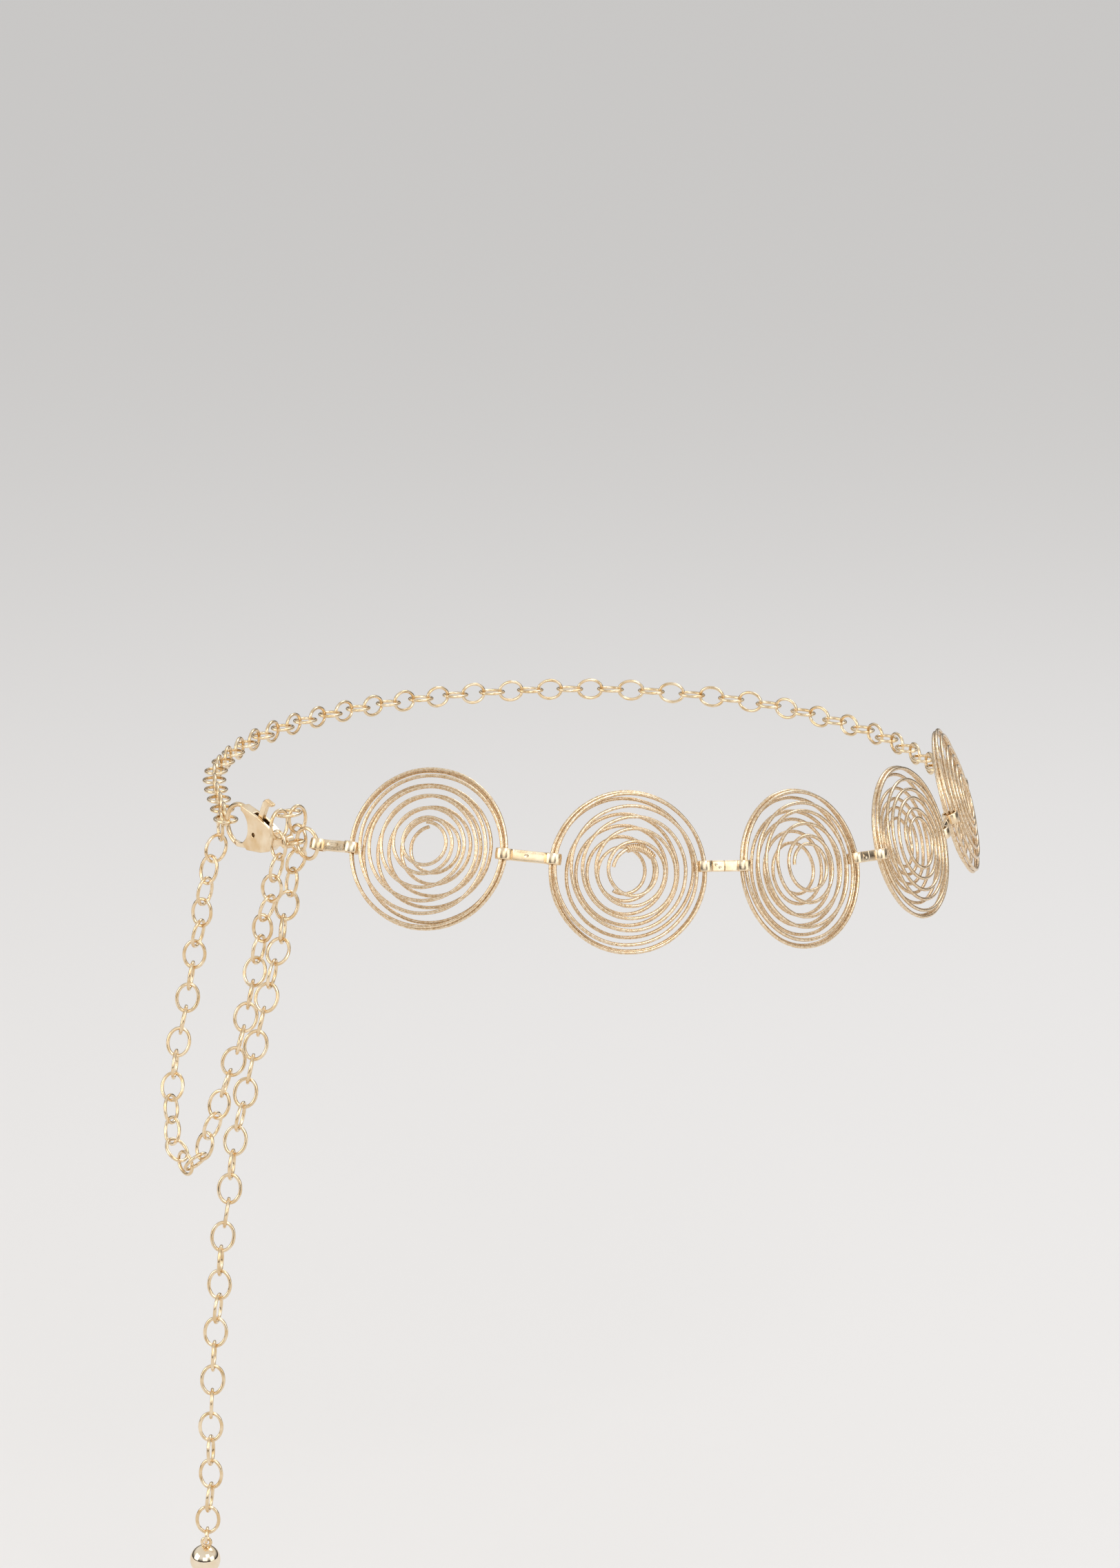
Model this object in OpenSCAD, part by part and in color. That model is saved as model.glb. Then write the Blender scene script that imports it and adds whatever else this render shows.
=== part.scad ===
/* [Medallions] */
// Outer diameter of a medallion
disc_d = 46; // [42:1:50]
// Thickness of the round wire that the medallions are wound from
nest_wire = 1; // [0.8:0.05:1.1]
// How far the innermost front turn stands before the rim's middle plane
front_rise = 3.6; // [3:0.1:5]
// How far the innermost rear turn stands behind the rim's middle plane
back_rise = 3; // [2.5:0.1:4]
// Distance between the centres of neighbouring medallions, seen from above
disc_pitch = 55.5; // [54:0.5:60]

/* [Waist loop] */
// Width of the waist loop from side to side, through the medallions
loop_w = 272; // [256:2:290]
// Depth of the waist loop from front to back
loop_d = 223; // [210:1:240]
// How far inside the medallions' loop the chain lies against the waist
chain_inset = 3; // [1:0.5:5]

/* [Straps] */
// Height of the flat straps
strap_h = 3.1; // [2.6:0.1:4]
// Thickness of the sheet that the straps are folded from
strap_t = 0.55; // [0.4:0.05:0.7]
// Length of the two end straps, from eye to eye
end_strap_l = 14; // [12:0.5:16]

/* [Chain] */
// Outer length of a chain link
link_l = 9.1; // [8.6:0.1:9.8]
// Outer width of a chain link
link_w = 7.2; // [6.8:0.1:7.8]
// Thickness of the wire of a link
link_wire = 1; // [0.8:0.05:1.1]

/* [Clasp] */
// Width of the claw's opening
claw_w = 9.6; // [9:0.1:10]
// Height of the claw's opening
claw_h = 10.4; // [10.2:0.1:11.2]
// Thickness of the claw's round bar
claw_bar = 1.4; // [1.2:0.1:1.7]
// Thickness of the clasp from front to back
clasp_t = 3.2; // [3:0.1:4]
// Thickness of the lever
lever_t = 1.3; // [1:0.1:1.6]
// Diameter of the rivet
pin_d = 1.2; // [1:0.1:1.5]
// Distance from the rivet to the middle of the tail's eye
tail_reach = 12.8; // [12:0.1:14]
// Outer diameter of the jump ring on the clasp's tail
ring_d = 6.8; // [6.4:0.1:7.2]
// Outer diameter of the large end link
end_link_d = 9.8; // [9.4:0.1:10.6]
// Thickness of the wire of the rings
ring_wire = 1.1; // [0.9:0.05:1.2]

/* [Ball] */
// Diameter of the ball at the end of the chain
ball_d = 8.7; // [7:0.1:10]
// Outer diameter of the ball's jump ring
ball_ring_d = 5; // [4.8:0.1:6]
// Thickness of the wire of the ball's jump ring and eye
ball_wire = 0.9; // [0.8:0.05:1]

/* [Hidden] */
GOLD = "#d9b26a";
PALE_GOLD = "#e6c68a";
ROUND = 48;
WIRE_ROUND = 16;

// Clearances, in millimetres
running_gap = 0.05;
link_gap = 0.15;
slot_gap = 0.12;
tip_gap = 0.3;
eye_gap = 0.45;
ring_gap = 0.5;

// The medallions, from the wearer's right side to the front. Rise is the height of the centre above
// the loop's plane as a share of disc_d; lean is how far the face tips up; left and right are the
// directions of the two straps, in degrees round the face.
RISE = 0;
LEAN = 1;
LEFT = 2;
RIGHT = 3;
DISCS = [
    [ 0.24, 22, 190,  7],
    [ 0.10, 15, 173,  7],
    [-0.02, 16, 173,  3],
    [-0.08, 17, 179, -4],
    [-0.08, 17, 180,  0]];
FIRST_DIRECTION = -179;

// The nests. Each row has the radii of one face's turns as shares of the medallion's radius, at 2, 3,
// 4, 5 and 6 turns in from the rim, then the shift of the innermost turn to the side and up.
SHIFT = 5;
FRONT_TURNS = [
    [0.76, 0.64, 0.48, 0.33, 0.25, 0.01, 0.05],
    [0.75, 0.62, 0.47, 0.32, 0.26, 0.02, 0.02],
    [0.77, 0.66, 0.49, 0.33, 0.25, 0.01, 0.02],
    [0.76, 0.65, 0.52, 0.37, 0.27, -0.03, -0.01],
    [0.75, 0.63, 0.48, 0.34, 0.26, 0.02, -0.02]];
BACK_TURNS = [
    [0.74, 0.61, 0.47, 0.32, 0.25, 0.03, 0.03],
    [0.73, 0.60, 0.46, 0.31, 0.25, -0.04, 0.01],
    [0.76, 0.66, 0.52, 0.37, 0.26, 0.02, -0.02],
    [0.74, 0.61, 0.50, 0.37, 0.26, -0.03, -0.01],
    [0.75, 0.62, 0.49, 0.35, 0.27, -0.02, 0.02]];
// Whether a nest's outermost turn crosses from front to back beside its left strap, not its right
CROSSES_LEFT = [false, true, true, true, false];
// Turns on each face
FRONT_COUNT = [5.8, 6, 6, 6, 5.9];
BACK_COUNT = [5.7, 5.8, 5.8, 6, 6];

// Shares of the medallion's radius at the rim, where both faces have the same turns
RIM_SHARE = 0.936;
CLEAR_SHARE = 0.832;
DOME_OUTER = 0.94;
DOME_INNER = 0.27;
DOME_POWER = 0.6;
WIRE_SIDES = 6;
WIRE_STEPS = 120;
STEP_POWER = 1.25;
FULL_TURN = 360;

disc_r = disc_d / 2;
rim_r = disc_r - nest_wire / 2;
rim_half = 0.65 * nest_wire;
second_r = RIM_SHARE * disc_r;
strap_eye_in = norm([(rim_r - second_r) / 2, rim_half]) + nest_wire / 2 + eye_gap;
strap_eye_out = strap_eye_in + strap_t;
strap_hold_r = (rim_r + second_r) / 2;

// The chain's pitch, and from a link's middle to the middle of the wire at its end
link_pitch = link_l - 2 * link_wire - link_gap;
link_reach = (link_l - link_wire) / 2;
link_side = (link_w - link_wire) / 2;
link_straight = link_reach - link_side;

half_w = loop_w / 2;
half_d = loop_d / 2;
UP = [0, 0, 1];

// Where the clasp's tail is, as shares of half_w, half_d and disc_d
TAIL_SPOT = [-0.924, 0.409, 0.15];
// Which way the claw points, and which way the link hooked into it points, in degrees round the loop
CLAW_DIRECTION = 65;
HOOKED_DIRECTION = 36;
// The hooked link's neighbours lie side by side in it: their shares of the wire to either side
INNER_SIDE = -0.45;
OUTER_SIDE = 0.8;

// Route of the chain round the waist: direction in degrees, and height as a share of disc_d
WAIST_ROUTE = [
    [-50, -0.08], [-38, -0.06], [-25, -0.04], [-10, 0], [5, 0.03], [20, 0.06], [35, 0.08],
    [50, 0.1], [65, 0.12], [80, 0.14], [95, 0.15], [110, 0.16], [121, 0.17]];

// Route of the spare end, in millimetres from the clasp's tail: forward along the belt, up and out.
// The first list hangs down and turns up to the clasp, the second hangs down to the ball.
DOWN_AND_UP = [
    [-32, -13, 2], [-34, -26, 3], [-37, -40, 4], [-38, -53, 6], [-38, -66, 10], [-35, -78, 15],
    [-32, -86, 18], [-26, -93, 21], [-18, -95, 23], [-13, -90, 23], [-10, -81, 21], [-8, -70, 18],
    [-6, -58, 14], [-6, -46, 10], [-7, -35, 6], [-6, -27, 5], [-3, -18, 5], [0, -10, 5]];
DOWN_AGAIN = [
    [-3, -10, -5], [-4, -17, -4], [-4, -23, -2], [-2, -29, 1], [0, -36, 6], [1, -48, 11],
    [1, -60, 15], [1, -73, 19], [1, -86, 23], [2, -100, 26], [2, -113, 29], [3, -127, 31],
    [3, -140, 33], [4, -153, 35], [4, -166, 36], [5, -180, 37], [5, -187, 38], [4, -195, 38]];
// The links draped over the clasp's tail, by their joints, in shares of the chain's pitch
DRAPE = [
    [0.2, -0.49, 0.66], [0.2, 0.49, 0.66], [0.15, 1.2, 0.46], [0.05, 1.2, -0.46],
    [-0.02, 0.49, -0.66], [-0.08, -0.49, -0.66]];
// Direction that every other link faces, by its place in the first and the second hanging strand
DOWN_FACES = [[0, 126], [6, 196], [12, 196], [15, 150], [18, 150], [21, 196], [25, 196], [29, 165]];
AGAIN_FACES = [[0, 155], [4, 106]];
SWAY = 8;
SWAY_STEP = 50;
CURVE_STEPS = 8;

function unit(v) = v / norm(v);
function frame(x, y, z, p) = [
    [x.x, y.x, z.x, p.x],
    [x.y, y.y, z.y, p.y],
    [x.z, y.z, z.z, p.z],
    [0, 0, 0, 1]];
function place(m, p) = [for (i = [0:2]) m[i][0] * p.x + m[i][1] * p.y + m[i][2] * p.z + m[i][3]];
function flat_direction(a) = [cos(a), sin(a), 0];

// Directions round the loop
function on_loop(a) = [half_w * cos(a), half_d * sin(a)];
function step_round(a, low, high, n) =
    let (middle = (low + high) / 2)
    n == 0 ? middle
    : norm(on_loop(middle) - on_loop(a)) < disc_pitch
        ? step_round(a, middle, high, n - 1)
        : step_round(a, low, middle, n - 1);
function disc_direction(i) =
    i == 0 ? FIRST_DIRECTION
    : let (before = disc_direction(i - 1)) step_round(before, before, before + 60, 24);
function disc_centre(i) =
    let (p = on_loop(disc_direction(i))) [p.x, p.y, DISCS[i][RISE] * disc_d];
function disc_frame(i) =
    let (
        a = disc_direction(i),
        low = max(i - 1, 0),
        high = min(i + 1, len(DISCS) - 1),
        out = unit([cos(a) / half_w, sin(a) / half_d, 0]),
        run = disc_centre(high) - disc_centre(low),
        along = unit([-out.y, out.x, run.z / norm([run.x, run.y])]),
        tipped = cos(DISCS[i][LEAN]) * out + sin(DISCS[i][LEAN]) * UP,
        face = unit(tipped - (tipped * along) * along))
    frame(along, cross(face, along), face, disc_centre(i));

// A nest's wire: turn is negative on the front and positive on the back, and 0 at the rim
function share(rows, i, turn) = lookup(abs(turn), [
    [0, 1 - nest_wire / disc_d], [1, RIM_SHARE], [1.5, CLEAR_SHARE],
    for (k = [0:4]) [k + 2, rows[i][k]]]);
function nest_point(i, turn) =
    let (
        rows = turn < 0 ? FRONT_TURNS : BACK_TURNS,
        rise = turn < 0 ? front_rise : back_rise,
        r = share(rows, i, turn),
        depth = max(0, (DOME_OUTER - r) / (DOME_OUTER - DOME_INNER)),
        side = turn < 0 ? 1 : -1,
        lift = min(1, 2 * abs(turn)) * rim_half + (rise - rim_half) * pow(depth, DOME_POWER),
        start = CROSSES_LEFT[i] ? DISCS[i][LEFT] : DISCS[i][RIGHT],
        a = start - FULL_TURN * turn)
    [disc_r * (r * cos(a) + rows[i][SHIFT] * depth),
     disc_r * (r * sin(a) + rows[i][SHIFT + 1] * depth),
     side * lift];
function nest_turns(i) = [
    for (k = [-WIRE_STEPS:WIRE_STEPS])
        let (t = k / WIRE_STEPS)
        (t < 0 ? -FRONT_COUNT[i] : BACK_COUNT[i]) * pow(abs(t), STEP_POWER)];

// Where a strap holds a medallion's rim
function hold(i, side) =
    let (a = DISCS[i][side])
    place(disc_frame(i), [strap_hold_r * cos(a), strap_hold_r * sin(a), 0]);
function face_up(i) = let (m = disc_frame(i)) [m[0][1], m[1][1], m[2][1]];
function levelled(up, run) = unit(up - (up * run) * run);

// A smooth curve through points, and joints at equal distances along it
function bend(a, b, c, d, t) =
    0.5 * (2 * b + (c - a) * t + (2 * a - 5 * b + 4 * c - d) * t * t
        + (3 * b - a - 3 * c + d) * t * t * t);
function curve(p) =
    let (last = len(p) - 1)
    [for (i = [0:last - 1]) for (k = [0:CURVE_STEPS - 1])
        bend(p[max(i - 1, 0)], p[i], p[i + 1], p[min(i + 2, last)], k / CURVE_STEPS),
     p[last]];
function distances(c) = [
    for (k = 0, s = 0; k < len(c); k = k + 1, s = k < len(c) ? s + norm(c[k] - c[k - 1]) : s) s];
function odd_joints(points) =
    let (
        c = curve(points),
        s = distances(c),
        whole = s[len(s) - 1],
        n = 2 * ceil((whole / link_pitch + 1) / 2) - 1,
        tables = [for (j = [0:2]) [for (k = [0:len(c) - 1]) [s[k], c[k][j]]]])
    [for (k = [0:n]) [for (t = tables) lookup(k * whole / n, t)]];
// A link between two joints, its flat side towards face or, when it is crossed, a quarter turn round
function link_frame(from, to, face, crossed) =
    let (
        run = unit(to - from),
        flat = levelled(face, run),
        out = crossed ? cross(run, flat) : flat)
    frame(run, cross(out, run), out, (from + to) / 2);

// The left end of the row of medallions: strap, end link, jump ring and the clasp's tail
ring_r = (ring_d - ring_wire) / 2;
end_link_r = (end_link_d - ring_wire) / 2;
tail_spot = [TAIL_SPOT.x * half_w, TAIL_SPOT.y * half_d, TAIL_SPOT.z * disc_d];
first_hold = hold(0, LEFT);
end_run = unit(tail_spot - first_hold);
end_up = levelled(UP, end_run);
end_eye = first_hold + end_strap_l * end_run;
end_link_centre = end_eye + (end_link_r + eye_gap) * end_run;
ring_centre = end_link_centre + (end_link_r - ring_wire - link_gap + ring_r) * end_run;
tail_eye = ring_centre + (ring_r - link_gap) * end_run;

// The clasp's own axes: forward along the belt, up and out, from the rivet
claw_run = flat_direction(CLAW_DIRECTION);
claw_out = [-claw_run.y, claw_run.x, 0];
rivet = tail_eye + tail_reach * claw_run;
BASE_FRONT = 2.4;
CLAW_RAISE = 1.6;
HOOK_ROOT = 2.4;
claw_x = -(BASE_FRONT + claw_w / 2);
claw_arc = (claw_w + claw_bar) / 2;
claw_straight = (claw_h - claw_w) / 2;
gate_reach = norm([claw_x, CLAW_RAISE]) + 2.3;

// The link hooked into the claw and the first link that hangs from it
bar_centre = rivet + (claw_arc - claw_x) * claw_run + CLAW_RAISE * UP;
hooked_run = flat_direction(HOOKED_DIRECTION);
hooked_out = [-hooked_run.y, hooked_run.x, 0];
hooked_middle = bar_centre + (link_reach - (link_wire + claw_bar) / 2 - link_gap) * hooked_run;
hung_middle = hooked_middle + link_reach * hooked_run + OUTER_SIDE * link_wire * hooked_out
    - (link_reach - link_wire - link_gap) * UP;

// The right end: strap and back chain
waist_points = [for (p = WAIST_ROUTE)
    [(half_w - chain_inset) * cos(p[0]), (half_d - chain_inset) * sin(p[0]), p[1] * disc_d]];
last_hold = hold(4, RIGHT);
back_run = unit(waist_points[0] - last_hold);
back_eye = last_hold + end_strap_l * back_run;
back_start = back_eye + (link_reach - link_pitch / 2) * back_run;
back_end = hooked_middle + link_pitch / 2 * hooked_run + INNER_SIDE * link_wire * hooked_out;
back_joints = odd_joints(concat([back_start], waist_points, [back_end]));
function outward(p) = unit([p.x / (half_w * half_w), p.y / (half_d * half_d), 0]);
back_frames = [
    for (k = [0:len(back_joints) - 2])
        link_frame(back_joints[k], back_joints[k + 1], outward(back_joints[k]), k % 2 == 1),
    link_frame(hooked_middle + hooked_run, hooked_middle - hooked_run, hooked_out, true)];

// The spare end
function from_tail(p) = tail_eye - p.x * claw_run + p.y * UP + p.z * claw_out;
hung_top = hung_middle + link_pitch / 2 * UP;
hung_foot = hung_middle - link_pitch / 2 * UP;
drape_joints = [for (p = DRAPE) from_tail(link_pitch * p)];
down_joints = odd_joints(concat([hung_foot], [for (p = DOWN_AND_UP) from_tail(p)], [drape_joints[0]]));
again_joints = odd_joints(concat([drape_joints[len(DRAPE) - 1]], [for (p = DOWN_AGAIN) from_tail(p)]));
function swayed(table, k) = flat_direction(lookup(k, table) + SWAY * sin(SWAY_STEP * k));
tail_frames = concat(
    [link_frame(hung_top, hung_foot, hooked_out, false)],
    [for (k = [0:len(down_joints) - 2])
        link_frame(down_joints[k], down_joints[k + 1], swayed(DOWN_FACES, k + 1), k % 2 == 0)],
    [for (k = [0:len(drape_joints) - 2])
        link_frame(drape_joints[k], drape_joints[k + 1],
            cross(unit(drape_joints[k + 1] - drape_joints[k]), claw_run), k % 2 == 1)],
    [for (k = [0:len(again_joints) - 2])
        link_frame(again_joints[k], again_joints[k + 1], swayed(AGAIN_FACES, k + 1), k % 2 == 0)]);

// The ball below the last link
ball_ring_r = (ball_ring_d - ball_wire) / 2;
BALL_EYE_R = 1.25;
BALL_EYE_SUNK = 0.5;
last_link = tail_frames[len(tail_frames) - 1];
last_middle = [last_link[0][3], last_link[1][3], last_link[2][3]];
last_run = [last_link[0][0], last_link[1][0], last_link[2][0]];
last_side = [last_link[0][1], last_link[1][1], last_link[2][1]];
last_face = [last_link[0][2], last_link[1][2], last_link[2][2]];
ball_ring_centre = last_middle
    + (link_reach + ball_ring_r - (link_wire + ball_wire) / 2 - link_gap) * last_run;
ball_eye_centre = ball_ring_centre + (ball_ring_r + BALL_EYE_R - ball_wire - link_gap) * last_run;
ball_drop = BALL_EYE_R + ball_wire / 2 - BALL_EYE_SUNK + ball_d / 2;

// One closed tube of wire along a list of points
module wire(points, thickness, sides) {
    last = len(points) - 1;
    rings = [for (k = [0:last])
        let (
            run = unit(points[min(k + 1, last)] - points[max(k - 1, 0)]),
            side = unit(cross(UP, run)),
            up = cross(run, side))
        for (j = [0:sides - 1])
            let (a = FULL_TURN * j / sides)
            points[k] + thickness / 2 * (cos(a) * side + sin(a) * up)];
    polyhedron(
        rings,
        [[for (j = [0:sides - 1]) j],
         for (k = [0:last - 1]) for (j = [0:sides - 1])
             let (n = (j + 1) % sides)
             [k * sides + j, (k + 1) * sides + j, (k + 1) * sides + n, k * sides + n],
         [for (j = [sides - 1:-1:0]) last * sides + j]],
        convexity = 10);
}

module disc(i) {
    color(GOLD)
        multmatrix(disc_frame(i))
            wire([for (t = nest_turns(i)) nest_point(i, t)], nest_wire, WIRE_SIDES);
}

module disc_1() { disc(0); }
module disc_2() { disc(1); }
module disc_3() { disc(2); }
module disc_4() { disc(3); }
module disc_5() { disc(4); }

// Both eyes and the doubled neck of a strap between two points
module strap(from, to, up) {
    run = unit(to - from);
    rise = levelled(up, run);
    length = norm(to - from);
    color(PALE_GOLD)
        multmatrix(frame(run, cross(rise, run), rise, from))
            translate([0, 0, -strap_h / 2])
                linear_extrude(strap_h)
                    difference() {
                        union() {
                            circle(strap_eye_out, $fn = ROUND);
                            translate([length, 0]) circle(strap_eye_out, $fn = ROUND);
                            translate([0, -strap_t]) square([length, 2 * strap_t]);
                        }
                        circle(strap_eye_in, $fn = ROUND);
                        translate([length, 0]) circle(strap_eye_in, $fn = ROUND);
                    }
}

module strap_1() { strap(end_eye, first_hold, face_up(0)); }
module strap_2() { strap(hold(0, RIGHT), hold(1, LEFT), face_up(0) + face_up(1)); }
module strap_3() { strap(hold(1, RIGHT), hold(2, LEFT), face_up(1) + face_up(2)); }
module strap_4() { strap(hold(2, RIGHT), hold(3, LEFT), face_up(2) + face_up(3)); }
module strap_5() { strap(hold(3, RIGHT), hold(4, LEFT), face_up(3) + face_up(4)); }
module strap_6() { strap(last_hold, back_eye, face_up(4)); }

// A round ring in its own x-y plane
module ring(r, thickness) {
    rotate_extrude($fn = ROUND)
        translate([r, 0]) circle(d = thickness, $fn = WIRE_ROUND);
}

// One arc of round bar from a start angle
module arc(r, start, sweep, thickness) {
    rotate([0, 0, start])
        rotate_extrude(angle = sweep, $fn = ROUND)
            translate([r, 0]) circle(d = thickness, $fn = WIRE_ROUND);
}

// An oval link, long in x, in its own x-y plane
module link() {
    for (end = [-1, 1]) {
        translate([end * link_straight, 0, 0]) arc(link_side, -90 * end, 180, link_wire);
        translate([-link_straight, end * link_side, 0])
            rotate([0, 90, 0]) cylinder(d = link_wire, h = 2 * link_straight, $fn = WIRE_ROUND);
    }
}

module end_link() {
    color(GOLD)
        multmatrix(frame(end_run, end_up, cross(end_run, end_up), end_link_centre))
            ring(end_link_r, ring_wire);
}

module clasp_ring() {
    color(GOLD)
        multmatrix(frame(end_run, cross(end_up, end_run), end_up, ring_centre))
            ring(ring_r, ring_wire);
}

// The clasp, drawn from its rivet with x forward along the belt, y up and z out
clasp_frame = frame(-claw_run, UP, claw_out, rivet);
TAIL_T = 2.4;
HUB_R = 2.1;
TAIL_WALL = 0.9;
TAB = [[-1.2, 1.5], [1.4, 6], [3.4, 10.2], [4.5, 11], [7.4, 9.9], [7, 9.1], [5.6, 9.2], [4.6, 8.4],
    [3.2, 5.5], [2, 0.8], [0, -1]];
GATE = [[-0.8, 1.6], [-3, -0.4], [-12, -0.4], [-12, -5], [-2.6, -4.7], [0.4, -3.6], [1.8, -1], [0, 0]];
BASE = [[-5.2, 7.8], [-1.6, 6.7], [2.2, 5.4], [5.6, 3.8], [8, 2.4], [8.6, 0], [8, -2.4], [6.2, -3.9],
    [3, -4.7], [-3, -4.9], [-5, -3]];
SLOT = [[-6, -7], [5.4, -7], [6.2, 0], [6.4, 7], [0.4, 9], [-1.2, 4], [-1.8, 3.2], [-6, 3.2]];
NECK = [[6, 2], [tail_reach - 1, 1.4], [tail_reach - 1, -1.4], [6, -2]];
tail_eye_in = ring_wire / 2 + ring_gap;
tail_eye_out = tail_eye_in + TAIL_WALL;

module flat(thickness) {
    translate([0, 0, -thickness / 2]) linear_extrude(thickness) children();
}

// The claw's opening, and a hole for the rivet
module opening() {
    for (s = [-1, 1])
        translate([claw_x, CLAW_RAISE + s * claw_straight, -clasp_t])
            cylinder(d = claw_w, h = 2 * clasp_t, $fn = ROUND);
    translate([claw_x - claw_w / 2, CLAW_RAISE - claw_straight, -clasp_t])
        cube([claw_w, 2 * claw_straight, 2 * clasp_t]);
}
module rivet_hole() {
    translate([0, 0, -clasp_t])
        cylinder(d = pin_d + 2 * running_gap, h = 2 * clasp_t, $fn = ROUND);
}

module clasp_lever() {
    color(PALE_GOLD)
        multmatrix(clasp_frame)
            difference() {
                union() {
                    translate([0, 0, -lever_t / 2]) cylinder(r = HUB_R, h = lever_t, $fn = ROUND);
                    flat(lever_t) polygon(TAB);
                    intersection() {
                        flat(lever_t) polygon(GATE);
                        translate([0, 0, -clasp_t])
                            cylinder(r = gate_reach, h = 2 * clasp_t, $fn = 2 * ROUND);
                    }
                }
                opening();
                rivet_hole();
            }
}

module clasp_pin() {
    color(PALE_GOLD)
        multmatrix(clasp_frame)
            translate([0, 0, -clasp_t / 2]) cylinder(d = pin_d, h = clasp_t, $fn = ROUND);
}

// The hook: a round bar over the top of the opening, down its far side and in under the gate's tip
HOOK_TIP = 80;
module hook() {
    difference() {
        translate([claw_x, CLAW_RAISE + claw_straight, 0]) arc(claw_arc, 0, 180, claw_bar);
        translate([claw_x, CLAW_RAISE - HOOK_ROOT, -clasp_t])
            cube([2 * claw_arc, 2 * HOOK_ROOT, 2 * clasp_t]);
    }
    translate([claw_x - claw_arc, CLAW_RAISE - claw_straight, 0])
        rotate([-90, 0, 0]) cylinder(d = claw_bar, h = 2 * claw_straight, $fn = WIRE_ROUND);
    difference() {
        translate([claw_x, CLAW_RAISE - claw_straight, 0]) arc(claw_arc, 180, HOOK_TIP, claw_bar);
        translate([0, 0, -clasp_t])
            cylinder(r = gate_reach + tip_gap, h = 2 * clasp_t, $fn = 2 * ROUND);
    }
}

module clasp_body() {
    color(PALE_GOLD)
        multmatrix(clasp_frame) {
            hook();
            difference() {
                union() {
                    flat(clasp_t) polygon(BASE);
                    flat(TAIL_T) polygon(NECK);
                    translate([tail_reach, 0, -TAIL_T / 2])
                        cylinder(r = tail_eye_out, h = TAIL_T, $fn = ROUND);
                }
                opening();
                rivet_hole();
                flat(lever_t + 2 * slot_gap) polygon(SLOT);
                translate([tail_reach, 0, -clasp_t])
                    cylinder(r = tail_eye_in, h = 2 * clasp_t, $fn = ROUND);
            }
        }
}

module chain(frames) {
    color(GOLD)
        for (m = frames) multmatrix(m) link();
}

module back_chain() { chain(back_frames); }
module tail_chain() { chain(tail_frames); }

module ball_ring() {
    color(GOLD)
        multmatrix(frame(last_run, last_face, cross(last_run, last_face), ball_ring_centre))
            ring(ball_ring_r, ball_wire);
}

module ball() {
    color(PALE_GOLD)
        multmatrix(frame(last_run, last_side, last_face, ball_eye_centre)) {
            ring(BALL_EYE_R, ball_wire);
            translate([ball_drop, 0, 0]) sphere(d = ball_d, $fn = ROUND);
        }
}

disc_1();
disc_2();
disc_3();
disc_4();
disc_5();
strap_1();
strap_2();
strap_3();
strap_4();
strap_5();
strap_6();
end_link();
clasp_ring();
clasp_body();
clasp_lever();
clasp_pin();
back_chain();
tail_chain();
ball_ring();
ball();
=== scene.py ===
"""The looks of a waist chain: five wire-nest medallions on folded straps, a chain of oval links, a
lobster clasp and a ball. Lengths are in millimetres until they become vertices, and +Z is up along
the wearer's body."""

import math

import bmesh
import bpy
import numpy as np
from mathutils import Matrix, Vector


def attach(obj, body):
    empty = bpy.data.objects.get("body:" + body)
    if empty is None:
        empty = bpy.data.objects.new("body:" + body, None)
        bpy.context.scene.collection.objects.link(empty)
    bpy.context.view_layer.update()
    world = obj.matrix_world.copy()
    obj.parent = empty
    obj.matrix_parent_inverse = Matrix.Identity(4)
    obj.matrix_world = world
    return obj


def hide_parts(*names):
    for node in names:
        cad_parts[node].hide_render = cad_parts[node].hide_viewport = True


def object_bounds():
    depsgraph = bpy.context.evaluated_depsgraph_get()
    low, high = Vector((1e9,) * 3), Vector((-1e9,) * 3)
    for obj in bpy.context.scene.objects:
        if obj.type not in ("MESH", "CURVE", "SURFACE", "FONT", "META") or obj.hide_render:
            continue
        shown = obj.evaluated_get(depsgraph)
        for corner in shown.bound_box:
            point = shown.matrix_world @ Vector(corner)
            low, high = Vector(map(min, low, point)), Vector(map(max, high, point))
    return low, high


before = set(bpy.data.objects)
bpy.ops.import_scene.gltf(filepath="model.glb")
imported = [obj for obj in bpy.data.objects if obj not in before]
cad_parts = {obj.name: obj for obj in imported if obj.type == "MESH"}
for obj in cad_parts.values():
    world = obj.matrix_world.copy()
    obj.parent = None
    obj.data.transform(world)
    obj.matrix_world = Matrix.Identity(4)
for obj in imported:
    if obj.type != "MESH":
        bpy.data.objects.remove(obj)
cad_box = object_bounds()
scene = bpy.context.scene

MM = 0.001
UP = Vector((0, 0, 1))
FULL_TURN = 2 * math.pi

# Medallions
DISC_D = 46
NEST_WIRE = 1
FRONT_RISE = 3.6
BACK_RISE = 3
RIM_HALF = 0.65  # from the rim's middle to the centre of either of its turns, in wires
DISC_PITCH = 55.5
LOOP_W = 272
LOOP_D = 223

# Straps
STRAP_H = 3.1
STRAP_T = 0.55
END_STRAP_L = 14
EYE_GAP = 0.45

# Where the two end straps point. The clasp's tail is given as shares of the loop's half width, its
# half depth and DISC_D. The back chain's start is given as a direction round the loop, in degrees,
# and a share of DISC_D.
TAIL_SPOT = (-0.924, 0.409, 0.15)
BACK_SPOT = (-50, -0.08)
CHAIN_INSET = 3

# Links, rings and the clasp
LINK_L = 9.1
LINK_W = 7.2
LINK_WIRE = 1
LINK_GAP = 0.15
RING_D = 6.8
END_LINK_D = 9.8
RING_WIRE = 1.1
CLASP_T = 3.2
PIN_D = 1.2
BALL_D = 8.7
BALL_RING_D = 5
BALL_WIRE = 0.9
BALL_EYE_R = 1.25
BALL_EYE_SUNK = 0.5

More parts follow.
